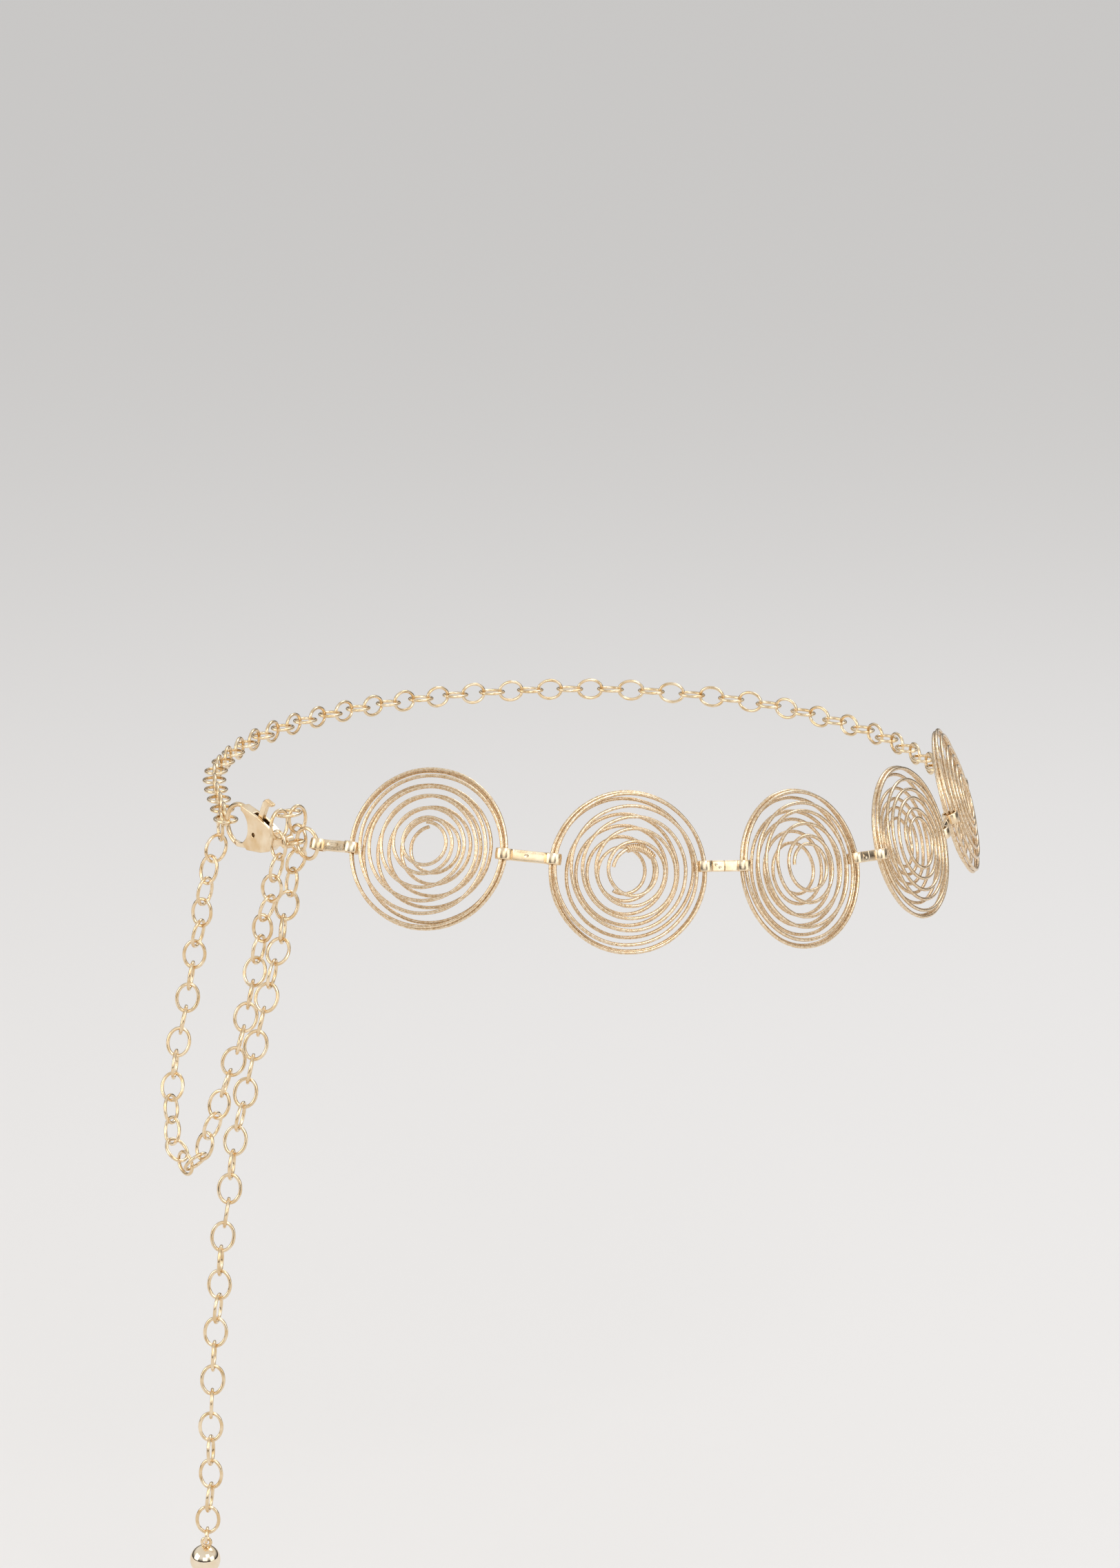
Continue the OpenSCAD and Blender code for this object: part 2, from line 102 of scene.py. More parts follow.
# Each medallion: height of its centre as a share of DISC_D, how far its face tips up, and the
# directions of its two straps round the face, in degrees.
RISE, LEAN, LEFT, RIGHT = range(4)
DISCS = [
    (0.24, 22, 190, 7),
    (0.10, 15, 173, 7),
    (-0.02, 16, 173, 3),
    (-0.08, 17, 179, -4),
    (-0.08, 17, 180, 0),
]
FIRST_DIRECTION = -179

# Radii of a face's turns as shares of the medallion's radius, 2 to 6 turns in from the rim, then
# the innermost turn's shift to the side and up.
FRONT_TURNS = [
    (0.76, 0.64, 0.48, 0.33, 0.25, 0.01, 0.05),
    (0.75, 0.62, 0.47, 0.32, 0.26, 0.02, 0.02),
    (0.77, 0.66, 0.49, 0.33, 0.25, 0.01, 0.02),
    (0.76, 0.65, 0.52, 0.37, 0.27, -0.03, -0.01),
    (0.75, 0.63, 0.48, 0.34, 0.26, 0.02, -0.02),
]
BACK_TURNS = [
    (0.74, 0.61, 0.47, 0.32, 0.25, 0.03, 0.03),
    (0.73, 0.60, 0.46, 0.31, 0.25, -0.04, 0.01),
    (0.76, 0.66, 0.52, 0.37, 0.26, 0.02, -0.02),
    (0.74, 0.61, 0.50, 0.37, 0.26, -0.03, -0.01),
    (0.75, 0.62, 0.49, 0.35, 0.27, -0.02, 0.02),
]
TURNS_GIVEN = 5
CROSSES_LEFT = [False, True, True, True, False]
FRONT_COUNT = [6.26, 6, 6, 6, 5.9]
BACK_COUNT = [5.7, 5.8, 5.8, 6, 6]
RIM_SHARE = 0.936
CLEAR_SHARE = 0.832
DOME_OUTER = 0.94
DOME_INNER = 0.27
DOME_POWER = 0.6

disc_r = DISC_D / 2
rim_r = disc_r - NEST_WIRE / 2
rim_half = RIM_HALF * NEST_WIRE
second_r = RIM_SHARE * disc_r
strap_eye_in = math.hypot((rim_r - second_r) / 2, rim_half) + NEST_WIRE / 2 + EYE_GAP
strap_hold_r = (rim_r + second_r) / 2


# Places

WIDEST_STEP = 60  # degrees round the loop: neighbouring medallions are always nearer
HALVINGS = 24


def frame_of(x, y, z, place):
    """A 4 by 4 matrix with these axes, at a place."""
    made = Matrix((x, y, z)).transposed().to_4x4()
    made.translation = place
    return made


def flat(degrees):
    """A level direction, counted from +X towards +Y."""
    return Vector((math.cos(math.radians(degrees)), math.sin(math.radians(degrees)), 0))


def on_loop(degrees):
    """A place on the waist's oval."""
    way = flat(degrees)
    return Vector((LOOP_W / 2 * way.x, LOOP_D / 2 * way.y, 0))


def disc_directions():
    """Directions of the medallions round the loop, DISC_PITCH apart from centre to centre."""
    found = [FIRST_DIRECTION]
    for _ in DISCS[1:]:
        low, high = found[-1], found[-1] + WIDEST_STEP
        for _ in range(HALVINGS):
            middle = (low + high) / 2
            if (on_loop(middle) - on_loop(found[-1])).length < DISC_PITCH:
                low = middle
            else:
                high = middle
        found.append((low + high) / 2)
    return found


directions = disc_directions()
disc_centres = [on_loop(a) + DISCS[i][RISE] * DISC_D * UP for i, a in enumerate(directions)]


def disc_frame(i):
    """A medallion's own axes: along the belt, up its face, and out of its face."""
    way = flat(directions[i])
    out = Vector((way.x / LOOP_W, way.y / LOOP_D, 0)).normalized()
    run = disc_centres[min(i + 1, len(DISCS) - 1)] - disc_centres[max(i - 1, 0)]
    along = Vector((-out.y, out.x, run.z / math.hypot(run.x, run.y))).normalized()
    lean = math.radians(DISCS[i][LEAN])
    tipped = math.cos(lean) * out + math.sin(lean) * UP
    face = (tipped - tipped.dot(along) * along).normalized()
    return frame_of(along, face.cross(along), face, disc_centres[i])


disc_frames = [disc_frame(i) for i in range(len(DISCS))]


def hold(i, side):
    """Where a strap holds a medallion's rim."""
    return disc_frames[i] @ (strap_hold_r * flat(DISCS[i][side]))


def face_up(i):
    """The way up a medallion's face."""
    return disc_frames[i].col[1].to_3d()


def square_to(way, run):
    """The direction nearest to way that is square to run."""
    return (way - way.dot(run) * run).normalized()


# Meshes

SAME_CORNER = 4  # decimals of a millimetre to which corners agree


def new_object(name, data):
    """Puts an object with this mesh, light or camera into the scene."""
    made = bpy.data.objects.new(name, data)
    scene.collection.objects.link(made)
    return made


def smooth(mesh):
    """Shades every face smooth."""
    mesh.polygons.foreach_set("use_smooth", [True] * len(mesh.polygons))


def outward(mesh):
    """Turns every face outwards."""
    shape = bmesh.new()
    shape.from_mesh(mesh)
    bmesh.ops.recalc_face_normals(shape, faces=shape.faces)
    shape.to_mesh(mesh)
    shape.free()


def path_mesh(points):
    """A chain of edges along points."""
    mesh = bpy.data.meshes.new("path")
    edges = [(k, k + 1) for k in range(len(points) - 1)]
    mesh.from_pydata([p * MM for p in points], edges, [])
    return mesh


def skin(name, rings):
    """A tube through rings of points, with both ends filled."""
    sides = len(rings[0])
    last = (len(rings) - 1) * sides
    faces = []
    for here in range(0, last, sides):
        there = here + sides
        faces += [(here + j, here + (j + 1) % sides, there + (j + 1) % sides, there + j)
                  for j in range(sides)]
    faces.append(tuple(range(sides - 1, -1, -1)))
    faces.append(tuple(range(last, last + sides)))
    mesh = bpy.data.meshes.new(name)
    mesh.from_pydata([p * MM for ring in rings for p in ring], [], faces)
    outward(mesh)
    smooth(mesh)
    return mesh


def turned(name, outline, steps):
    """A closed shape turned round its own z axis. The outline is (radius, height) and starts and
    ends on the axis."""
    shape = bmesh.new()
    ends = [shape.verts.new((0, 0, outline[k][1])) for k in (0, -1)]
    rings = []
    for radius, height in outline[1:-1]:
        rings.append([shape.verts.new((radius * math.cos(a), radius * math.sin(a), height))
                      for a in (FULL_TURN * j / steps for j in range(steps))])
    for j in range(steps):
        n = (j + 1) % steps
        shape.faces.new((ends[0], rings[0][n], rings[0][j]))
        shape.faces.new((ends[1], rings[-1][j], rings[-1][n]))
        for low, high in zip(rings, rings[1:]):
            shape.faces.new((low[j], low[n], high[n], high[j]))
    mesh = bpy.data.meshes.new(name)
    shape.to_mesh(mesh)
    shape.free()
    outward(mesh)
    smooth(mesh)
    return mesh


def cad_triangles(node):
    """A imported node's triangles as an array of corners, in millimetres."""
    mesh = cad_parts[node].data
    mesh.calc_loop_triangles()
    corners = np.zeros(len(mesh.vertices) * 3)
    mesh.vertices.foreach_get("co", corners)
    order = np.zeros(len(mesh.loop_triangles) * 3, int)
    mesh.loop_triangles.foreach_get("vertices", order)
    return corners.reshape(-1, 3)[order].reshape(-1, 3, 3) / MM


def loose_parts(triangles):
    """Splits triangles into the groups that share corners."""
    corners = np.round(triangles.reshape(-1, 3), SAME_CORNER)
    _, names = np.unique(corners, axis=0, return_inverse=True)
    names = names.reshape(-1, 3)
    group = np.arange(names.max() + 1)
    while True:
        low = group[names].min(axis=1)
        before = group.copy()
        for corner in range(3):
            np.minimum.at(group, names[:, corner], low)
        group = group[group]
        if (group == before).all():
            break
    labels = group[names[:, 0]]
    return [triangles[labels == label] for label in np.unique(labels)]


def own_frame(triangles):
    """A shape's own axes, longest first, at its middle, found from its surface."""
    sides = np.cross(triangles[:, 1] - triangles[:, 0], triangles[:, 2] - triangles[:, 0])
    areas = np.linalg.norm(sides, axis=1)
    centres = triangles.mean(axis=1)
    middle = (areas[:, None] * centres).sum(axis=0) / areas.sum()
    spread = np.einsum("t,ti,tj->ij", areas, centres - middle, centres - middle)
    _, axes = np.linalg.eigh(spread)
    axes = axes[:, ::-1]
    reach = (triangles.reshape(-1, 3) - middle) @ axes
    middle = middle + axes @ ((reach.max(axis=0) + reach.min(axis=0)) / 2)
    x, y = Vector(axes[:, 0]), Vector(axes[:, 1])
    return frame_of(x, y, x.cross(y), Vector(middle))


# Node trees

def add(tree, kind, links=(), **settings):
    """Adds a node and sets its settings. Each of its inputs gets a value or is joined to another
    node's output."""
    node = tree.nodes.new(kind)
    for name, value in settings.items():
        setattr(node, name, value)
    for name, value in dict(links).items():
        if isinstance(value, bpy.types.NodeSocket):
            tree.links.new(value, node.inputs[name])
        else:
            node.inputs[name].default_value = value
    return node


def geometry_tree(name, *sizes):
    """A geometry tree with these named inputs, and its input node's outputs."""
    tree = bpy.data.node_groups.new(name, "GeometryNodeTree")
    tree.interface.new_socket("Geometry", in_out="INPUT", socket_type="NodeSocketGeometry")
    tree.interface.new_socket("Geometry", in_out="OUTPUT", socket_type="NodeSocketGeometry")
    for size in sizes:
        kind = "Int" if size in ("Sides", "Steps") else "Float"
        tree.interface.new_socket(size, in_out="INPUT", socket_type="NodeSocket" + kind)
    tree.interface.new_socket("Material", in_out="INPUT", socket_type="NodeSocketMaterial")
    return tree, add(tree, "NodeGroupInput").outputs


def end_tree(tree, given, shape):
    """Ends a tree: smooth shading, real meshes for instances, and the material."""
    shaded = add(tree, "GeometryNodeSetShadeSmooth", {"Geometry": shape})
    real = add(tree, "GeometryNodeRealizeInstances", {"Geometry": shaded.outputs["Geometry"]})
    painted = add(tree, "GeometryNodeSetMaterial",
                  {"Geometry": real.outputs["Geometry"], "Material": given["Material"]})
    add(tree, "NodeGroupOutput", {"Geometry": painted.outputs["Geometry"]})
    return tree


def wire_tree():
    """Round wire along a path, a little uneven as bent by hand."""
    tree, given = geometry_tree("wire", "Thickness", "Unevenness", "Wave", "Sides")
    path = add(tree, "GeometryNodeMeshToCurve", {"Mesh": given["Geometry"]})
    place = add(tree, "GeometryNodeInputPosition")
    scale = add(tree, "ShaderNodeMath", {0: 1.0, 1: given["Wave"]}, operation="DIVIDE")
    waves = add(tree, "ShaderNodeTexNoise",
                {"Vector": place.outputs["Position"], "Scale": scale.outputs[0], "Detail": 1.0})
    centred = add(tree, "ShaderNodeVectorMath",
                  {0: waves.outputs["Color"], 1: (0.5, 0.5, 0.5)}, operation="SUBTRACT")
    offset = add(tree, "ShaderNodeVectorMath",
                 {0: centred.outputs[0], "Scale": given["Unevenness"]}, operation="SCALE")
    bent = add(tree, "GeometryNodeSetPosition",
               {"Geometry": path.outputs["Curve"], "Offset": offset.outputs[0]})
    radius = add(tree, "ShaderNodeMath", {0: given["Thickness"], 1: 0.5}, operation="MULTIPLY")
    section = add(tree, "GeometryNodeCurvePrimitiveCircle",
                  {"Resolution": given["Sides"], "Radius": radius.outputs[0]})
    tube = add(tree, "GeometryNodeCurveToMesh",
               {"Curve": bent.outputs["Geometry"], "Profile Curve": section.outputs["Curve"],
                "Fill Caps": True})
    return end_tree(tree, given, tube.outputs["Mesh"])


def links_tree():
    """An oval link of round wire on every point, turned as the point's attribute link_turn says."""
    tree, given = geometry_tree("links", "Length", "Width", "Thickness", "Steps", "Sides")
    halves = []
    for size in ("Length", "Width"):
        across = add(tree, "ShaderNodeMath",
                     {0: given[size], 1: given["Thickness"]}, operation="SUBTRACT")
        halves.append(add(tree, "ShaderNodeMath",
                          {0: across.outputs[0], 1: 0.5}, operation="MULTIPLY"))
    oval = add(tree, "ShaderNodeCombineXYZ",
               {"X": halves[0].outputs[0], "Y": halves[1].outputs[0], "Z": 1.0})
    circle = add(tree, "GeometryNodeCurvePrimitiveCircle",
                 {"Resolution": given["Steps"], "Radius": 1.0})
    path = add(tree, "GeometryNodeTransform",
               {"Geometry": circle.outputs["Curve"], "Scale": oval.outputs[0]})
    radius = add(tree, "ShaderNodeMath", {0: given["Thickness"], 1: 0.5}, operation="MULTIPLY")
    section = add(tree, "GeometryNodeCurvePrimitiveCircle",
                  {"Resolution": given["Sides"], "Radius": radius.outputs[0]})
    link = add(tree, "GeometryNodeCurveToMesh",
               {"Curve": path.outputs["Geometry"], "Profile Curve": section.outputs["Curve"]})
    turn = add(tree, "GeometryNodeInputNamedAttribute",
               {"Name": "link_turn"}, data_type="QUATERNION")
    placed = add(tree, "GeometryNodeInstanceOnPoints",
                 {"Points": given["Geometry"], "Instance": link.outputs["Mesh"],
                  "Rotation": turn.outputs["Attribute"]})
    return end_tree(tree, given, placed.outputs["Instances"])


def settled(made):
    """The plain mesh that an object's modifiers give. The modifiers are removed."""
    ready = made.evaluated_get(bpy.context.evaluated_depsgraph_get())
    mesh = bpy.data.meshes.new_from_object(ready)
    made.modifiers.clear()
    return mesh


def grown(name, tree, base, material, **sizes):
    """Runs a tree on a base mesh and keeps the result as a plain mesh."""
    made = new_object(name, base)
    maker = made.modifiers.new("maker", "NODES")
    maker.node_group = tree
    values = {**sizes, "Material": material}
    for socket in tree.interface.items_tree:
        if socket.in_out == "INPUT" and socket.name in values:
            maker[socket.identifier] = values[socket.name]
    made.data = settled(made)
    return made


# Finishes

NOISE_LOW, NOISE_HIGH = 0.3, 0.7  # nearly all of a noise texture's values lie between these


def linear(colour):
    """An sRGB hex colour as linear red, green, blue and alpha."""
    parts = [int(colour[k:k + 2], 16) / 255 for k in (1, 3, 5)]
    return tuple(v / 12.92 if v <= 0.04045 else ((v + 0.055) / 1.055) ** 2.4 for v in parts) + (1,)


def finish(name, roughness):
    """A metal: its material, its tree, its shader node and the coordinates of the surface."""
    material = bpy.data.materials.new(name)
    material.use_nodes = True
    tree = material.node_tree
    tree.nodes.clear()
    shader = add(tree, "ShaderNodeBsdfPrincipled", {"Metallic": 1.0, "Roughness": roughness})
    add(tree, "ShaderNodeOutputMaterial", {"Surface": shader.outputs["BSDF"]})
    place = add(tree, "ShaderNodeTexCoord").outputs["Object"]
    return material, tree, shader, place


def per_metre(size_mm):
    """A pattern's scale for a real size in millimetres."""
    return 1 / (size_mm * MM)


def plating(name, colours, tone_mm, roughness, grain_mm, grain_depth_mm):
    """Thin gold-tone plating on brass: the tone drifts where it was polished more, and a fine grain
    of polishing marks breaks up the highlights."""
    material, tree, shader, place = finish(name, roughness[0])
    drift = add(tree, "ShaderNodeTexNoise",
                {"Vector": place, "Scale": per_metre(tone_mm), "Detail": 3.0})
    worn = add(tree, "ShaderNodeMapRange",
               {"Value": drift.outputs["Fac"], "From Min": NOISE_LOW, "From Max": NOISE_HIGH})
    light, dark = (linear(colour) for colour in colours)
    tone = add(tree, "ShaderNodeMix", {0: worn.outputs[0], 6: light, 7: dark}, data_type="RGBA")
    tree.links.new(tone.outputs[2], shader.inputs["Base Color"])
    grain = add(tree, "ShaderNodeTexNoise",
                {"Vector": place, "Scale": per_metre(grain_mm), "Detail": 4.0})
    gloss = add(tree, "ShaderNodeMapRange",
                {"Value": grain.outputs["Fac"], "From Min": NOISE_LOW, "From Max": NOISE_HIGH,
                 "To Min": roughness[0], "To Max": roughness[1]})
    tree.links.new(gloss.outputs[0], shader.inputs["Roughness"])
    bump = add(tree, "ShaderNodeBump",
               {"Height": grain.outputs["Fac"], "Strength": 1.0, "Distance": grain_depth_mm * MM})
    tree.links.new(bump.outputs["Normal"], shader.inputs["Normal"])
    return material


# The real polishing marks are about 0.1 mm wide. They are drawn 0.3 to 0.9 mm wide, so that they
# show.

# Drawn brass wire with gold-tone plating, scuffed all over: the eye sees small bright and dull
# flecks.
gold_wire = plating("gold_plated_nest_wire", ("#F9E8CE", "#D6B588"), 0.7, (0.14, 0.32), 0.4, 0.035)
# Polished brass link wire with gold-tone plating: long clean highlights, and brown where a link
# reflects the next.
gold_links = plating("gold_plated_link_wire", ("#F8E6C8", "#E0C090"), 2.5, (0.1, 0.24), 0.6, 0.012)
# Rolled brass strip, folded and tumbled: a satin face.
gold_strip = plating("gold_plated_strip", ("#FAEAD0", "#E6C89C"), 4, (0.16, 0.28), 0.4, 0.005)
# Die-cast clasp, polished before plating: soft edges and a faint ripple left by the mould.
gold_casting = plating("gold_plated_casting", ("#F9E9CE", "#E0C092"), 5, (0.12, 0.24), 0.9, 0.02)
# The rivet's ends, coloured dark brown: painted shade, standing in for the shade on the sunk rivet.
rivet_painted_shade = plating("rivet_painted_shade_brown", ("#7A5A34", "#4E3820"), 0.6, (0.35, 0.55), 0.3, 0.01)
# Pressed hollow ball, polished to a mirror: the whole studio shows in it.
gold_ball = plating("gold_plated_ball", ("#FBEED8", "#E8CEA4"), 8, (0.05, 0.12), 0.7, 0.004)


# Medallions

NEST_STEPS = 110  # along each turn
NEST_SIDES = 10
NEST_UNEVEN = 0.3  # size of the wire's fine unevenness
NEST_WAVE = 12  # length of its waves

# The turns stray from true circles, by hand winding. The strays grow in from the rim and fade
# towards the middle. Each bend is (size, half waves in a turn, shift from one medallion to the
# next).
WOBBLE = 0.32
WOBBLE_BEGINS = 3
WOBBLE_FADES = 1.15
BENDS = [(1, 2.17, 1.3), (0.6, 5.3, 2.1)]

# The end of the second medallion's wire is wound round its own innermost front turn.
WRAP_DISC = 1
WRAP_FROM, WRAP_TO = -5.83, -5.62
WRAP_WIRE = 0.6
WRAP_COILS = 15
WRAP_STEPS = 20  # along each coil
WRAP_CLEAR = 0.02
WRAP_AHEAD = 0.002  # the part of a turn that shows which way the wire runs

wire = wire_tree()


def share(rows, i, turn):
    """A turn's radius as a share of the medallion's radius."""
    at = [0, 1, 1.5, 2, 3, 4, 5, 6]
    radii = [1 - NEST_WIRE / DISC_D, RIM_SHARE, CLEAR_SHARE, *rows[i][:TURNS_GIVEN]]
    return float(np.interp(abs(turn), at, radii))


def nest_point(i, turn):
    """A place along a nest's wire: turn is negative on the front and positive on the back."""
    front = turn < 0
    rows = FRONT_TURNS if front else BACK_TURNS
    rise = FRONT_RISE if front else BACK_RISE
    r = share(rows, i, turn)
    depth = max(0, (DOME_OUTER - r) / (DOME_OUTER - DOME_INNER))
    lift = min(1, 2 * abs(turn)) * rim_half + (rise - rim_half) * depth ** DOME_POWER
    way = flat(DISCS[i][LEFT if CROSSES_LEFT[i] else RIGHT] - 360 * turn)
    shift = Vector((*rows[i][TURNS_GIVEN:], 0))
    bends = sum(size * math.sin(waves * math.pi * turn + shifted * i)
                for size, waves, shifted in BENDS)
    r += WOBBLE / disc_r * min(1, WOBBLE_BEGINS * depth) * (WOBBLE_FADES - depth) * bends
    return disc_r * (r * way + depth * shift) + (lift if front else -lift) * UP


def make_nest(i):
    """One medallion: a wire wound from the middle of its front to the rim and back in behind."""
    count = round((FRONT_COUNT[i] + BACK_COUNT[i]) * NEST_STEPS)
    turns = [-FRONT_COUNT[i] + k * (FRONT_COUNT[i] + BACK_COUNT[i]) / count
             for k in range(count + 1)]
    points = [disc_frames[i] @ nest_point(i, turn) for turn in turns]
    nest = grown(f"wire_nest_{i + 1}", wire, path_mesh(points), gold_wire,
                 Thickness=NEST_WIRE * MM, Unevenness=NEST_UNEVEN * MM, Wave=NEST_WAVE * MM,
                 Sides=NEST_SIDES)
    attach(nest, "chain")
    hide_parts(f"disc_{i + 1}")


def make_wrap():
    """The wire's end on one nest, wound tightly round the innermost front turn."""
    own = disc_frames[WRAP_DISC]
    steps = WRAP_COILS * WRAP_STEPS
    r = (NEST_WIRE + WRAP_WIRE) / 2 + WRAP_CLEAR
    points = []
    for k in range(steps + 1):
        turn = WRAP_FROM + (WRAP_TO - WRAP_FROM) * k / steps
        here = own @ nest_point(WRAP_DISC, turn)
        run = (own @ nest_point(WRAP_DISC, turn + WRAP_AHEAD) - here).normalized()
        out = square_to(own.col[2].to_3d(), run)
        a = FULL_TURN * WRAP_COILS * k / steps
        points.append(here + r * (math.cos(a) * out + math.sin(a) * run.cross(out)))
    wrap = grown("wire_wrap", wire, path_mesh(points), gold_wire,
                 Thickness=WRAP_WIRE * MM, Unevenness=0.0, Wave=1.0, Sides=NEST_SIDES)
    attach(wrap, "chain")
    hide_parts(f"disc_{WRAP_DISC + 1}")


for i in range(len(DISCS)):
    make_nest(i)
make_wrap()


# Straps

STRAP_CORNER = 0.14
STRAP_CROWN = 0.16  # how far the strip's outer side bulges
SEAM_GAP = 0.3
SHEET_GAP = 0.01  # from the middle of a neck to either of its two sheets
FOLD_R = 0.7
NECK_STEPS, FOLD_STEPS, EYE_STEPS = 16, 12, 48
SIDE_STEPS, CORNER_STEPS = 12, 3
outer_side = STRAP_T / 2 - 0.01  # a strip's section lies further out than this on its outer side

# Marks pressed into a strap's front: (share of its length, up, half length, radius, depth).
GROOVE = [(0.47, 0.25, 1.7, 0.3, 0.3)]
PIT = [(0.46, 0.1, 0.25, 0.35, 0.25)]
DIMPLES = [(0.28, 0.35, 0, 0.42, 0.3), (0.38, -0.4, 0, 0.4, 0.3)]
IN_FRONT, BEHIND = 1, -1
# Each strap's marks and the side of its seam, from the clasp's end on.
STRAP_LOOKS = [
    (GROOVE, BEHIND),
    (PIT, BEHIND),
    (DIMPLES, IN_FRONT),
    (DIMPLES, IN_FRONT),
    (DIMPLES, IN_FRONT),
    (GROOVE, BEHIND),
]


def strap_line(length):
    """The middle of a strap's sheet, as (x, out) points, from its butt seam round both eyes and
    back to the seam."""
    r = strap_eye_in + STRAP_T / 2
    half = STRAP_T / 2 + SHEET_GAP
    # A fold of radius FOLD_R leads from the flat neck into each eye.
    reach = math.sqrt((r + FOLD_R) ** 2 - (half + FOLD_R) ** 2)
    meet = math.atan2(half + FOLD_R, reach)
    fold = []
    for k in range(FOLD_STEPS + 1):
        a = (math.pi / 2 - meet) * k / FOLD_STEPS
        fold.append((length - reach + FOLD_R * math.sin(a), half + FOLD_R - FOLD_R * math.cos(a)))
    eye = []
    for k in range(1, EYE_STEPS):
        a = math.pi - meet - (FULL_TURN - 2 * meet) * k / EYE_STEPS
        eye.append((length + r * math.cos(a), r * math.sin(a)))
    middle = length / 2
    neck = [(middle + (fold[0][0] - middle) * k / NECK_STEPS, half) for k in range(NECK_STEPS)]
    front = neck + fold
    back = [(x, -y) for x, y in reversed(front)]
    right = front + eye + back
    left = [(length - x, y) for x, y in reversed(right)]
    start = (middle + SEAM_GAP / 2, half)
    end = (middle - SEAM_GAP / 2, half)
    return [start] + right[1:] + left[1:-1] + [end]


def strap_section():
    """The strip cut across, as (up, out) points: a rounded oblong with a crowned outer side."""
    up, out = STRAP_H / 2 - STRAP_CORNER, STRAP_T / 2 - STRAP_CORNER
    points = []
    for turn, (v, w) in enumerate([(1, 1), (-1, 1), (-1, -1), (1, -1)]):
        for k in range(CORNER_STEPS + 1):
            a = math.pi / 2 * (k / CORNER_STEPS) + math.pi / 2 * turn
            points.append((v * up + STRAP_CORNER * math.cos(a),
                           w * out + STRAP_CORNER * math.sin(a)))
        if turn % 2 == 0:  # a wide side follows this corner
            points += [(v * up * (1 - 2 * k / SIDE_STEPS), w * STRAP_T / 2)
                       for k in range(1, SIDE_STEPS)]
    return [(v, w + (STRAP_CROWN * (1 - (2 * v / STRAP_H) ** 2) if w > 0 else 0))
            for v, w in points]


def pressed(x, up, marks):
    """How deep the front of a strap is pressed in at a place."""
    deep = 0
    for mark_x, mark_up, half_l, radius, depth in marks:
        away = math.hypot(max(0, abs(x - mark_x) - half_l), up - mark_up) / radius
        if away < 1:
            deep = max(deep, depth * (1 - away * away) ** 2)
    return deep


def make_strap(number, start, end, up, marks, seam):
    """A strap between two places, with its marks in front and its seam in front or behind."""
    run = (end - start).normalized()
    rise = square_to(up, run)
    own = frame_of(run, seam * run.cross(rise), rise, start)
    line = strap_line((end - start).length)
    section = strap_section()
    rings = []
    for k, (x, y) in enumerate(line):
        ahead, behind = line[min(k + 1, len(line) - 1)], line[max(k - 1, 0)]
        run_x, run_y = ahead[0] - behind[0], ahead[1] - behind[1]
        size = math.hypot(run_x, run_y)
        out_x, out_y = -run_y / size, run_x / size
        ring = []
        for v, w in section:
            dent = pressed(x, v, marks) if w > outer_side and seam * y > 0 else 0
            ring.append(own @ Vector((x + out_x * (w - dent), y + out_y * (w - dent), v)))
        rings.append(ring)
    strap = new_object(f"folded_strap_{number}", skin("folded_strap", rings))
    strap.data.materials.append(gold_strip)
    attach(strap, "chain")
    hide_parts(f"strap_{number}")


def make_straps():
    """Straps from the clasp's end to the back chain."""
    tail_spot = Vector((TAIL_SPOT[0] * LOOP_W / 2, TAIL_SPOT[1] * LOOP_D / 2,
                        TAIL_SPOT[2] * DISC_D))
    first_hold = hold(0, LEFT)
    end_eye = first_hold + END_STRAP_L * (tail_spot - first_hold).normalized()
    back_way = flat(BACK_SPOT[0])
    back_spot = Vector(((LOOP_W / 2 - CHAIN_INSET) * back_way.x,
                        (LOOP_D / 2 - CHAIN_INSET) * back_way.y, BACK_SPOT[1] * DISC_D))
    last_hold = hold(len(DISCS) - 1, RIGHT)
    back_eye = last_hold + END_STRAP_L * (back_spot - last_hold).normalized()
    ends = [(end_eye, first_hold, face_up(0))]
    for i in range(len(DISCS) - 1):
        ends.append((hold(i, RIGHT), hold(i + 1, LEFT), face_up(i) + face_up(i + 1)))
    ends.append((last_hold, back_eye, face_up(len(DISCS) - 1)))
    for k, (start, end, up) in enumerate(ends):
        marks, seam = STRAP_LOOKS[k]
        length = (end - start).length
        placed = [(share_x * length, *rest) for share_x, *rest in marks]
        make_strap(k + 1, start, end, up, placed, seam)


make_straps()


# Links and rings

LINK_STEPS, LINK_SIDES = 40, 10
RING_STEPS, RING_SIDES = 72, 16
SLIT = 0.06

link_maker = links_tree()


def make_links(name, node):
    """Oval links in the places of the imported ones."""
    frames = [own_frame(part) for part in loose_parts(cad_triangles(node))]
    base = bpy.data.meshes.new(name)
    base.from_pydata([m.translation * MM for m in frames], [], [])
    turns = base.attributes.new("link_turn", "QUATERNION", "POINT")
    turns.data.foreach_set("value", [v for m in frames for v in m.to_quaternion()])
    links = grown(name, link_maker, base, gold_links, Length=LINK_L * MM, Width=LINK_W * MM,
                  Thickness=LINK_WIRE * MM, Steps=LINK_STEPS, Sides=LINK_SIDES)
    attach(links, "chain")
    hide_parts(node)


